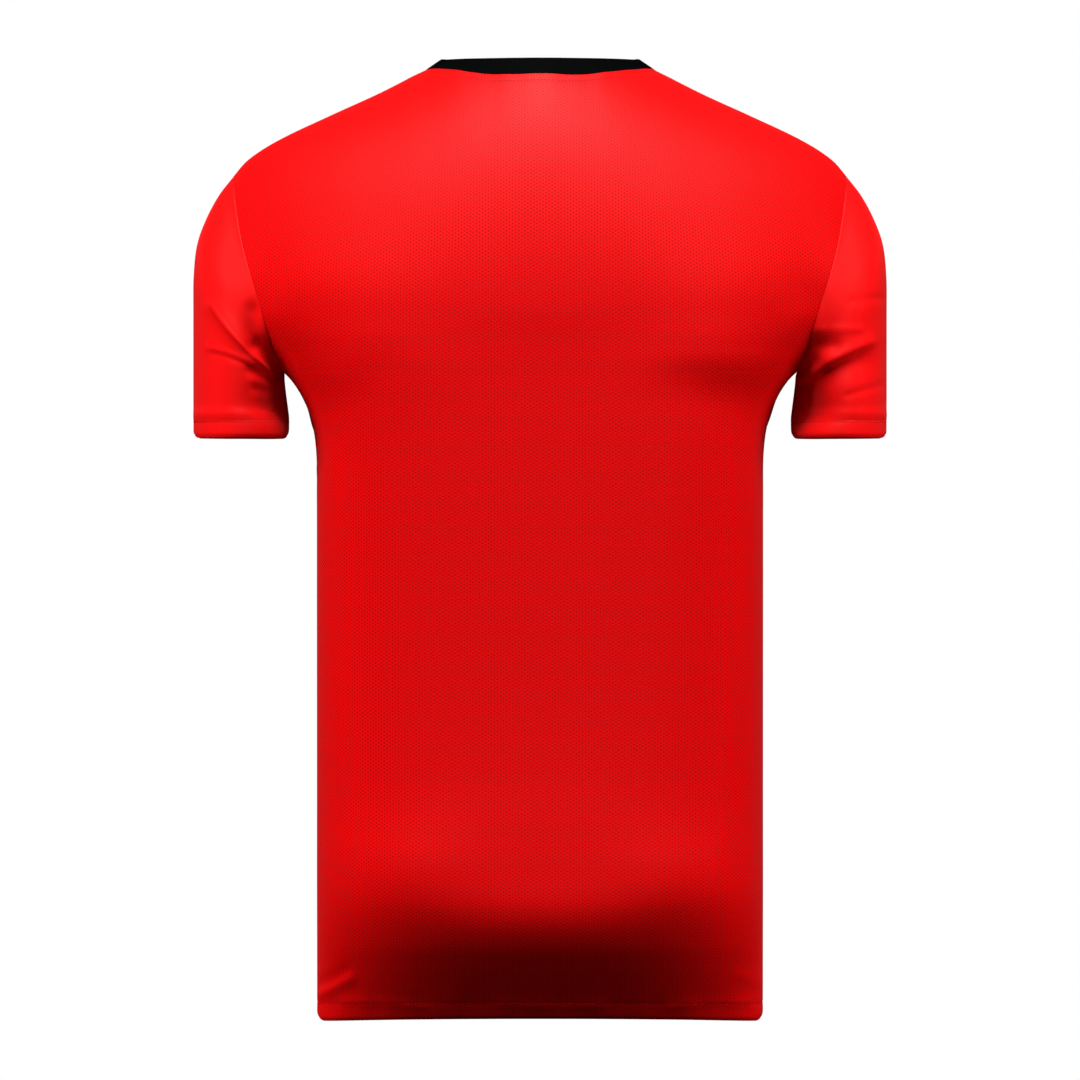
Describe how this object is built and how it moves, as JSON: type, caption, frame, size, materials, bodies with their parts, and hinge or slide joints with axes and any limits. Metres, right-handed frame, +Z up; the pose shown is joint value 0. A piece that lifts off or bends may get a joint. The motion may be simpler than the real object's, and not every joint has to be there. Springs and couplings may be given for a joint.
{
  "type": "short-sleeved football jersey",
  "caption": "Red short-sleeved football jersey with a black rib crew collar, filled out as if worn, open at the neck, cuffs and hem.",
  "frame": {"origin": "midway between the two points where the shoulder line meets the collar, where the wearer's shoulders hold the jersey up", "axes": "+Z up along the body, -Y out of the chest, +X towards the wearer's left"},
  "size_m": [0.527, 0.2326, 0.7282],
  "materials": {
    "body_cloth": "red knitted polyester mesh with small open holes and a soft sheen",
    "sleeve_cloth": "red plain knitted polyester with a soft sheen",
    "collar_rib": "matt black rib knit"
  },
  "bodies": {
    "root": {"back": "body_cloth", "front": "body_cloth", "sleeve_left": "sleeve_cloth", "sleeve_right": "sleeve_cloth", "collar": "collar_rib"}
  },
  "joints": []
}
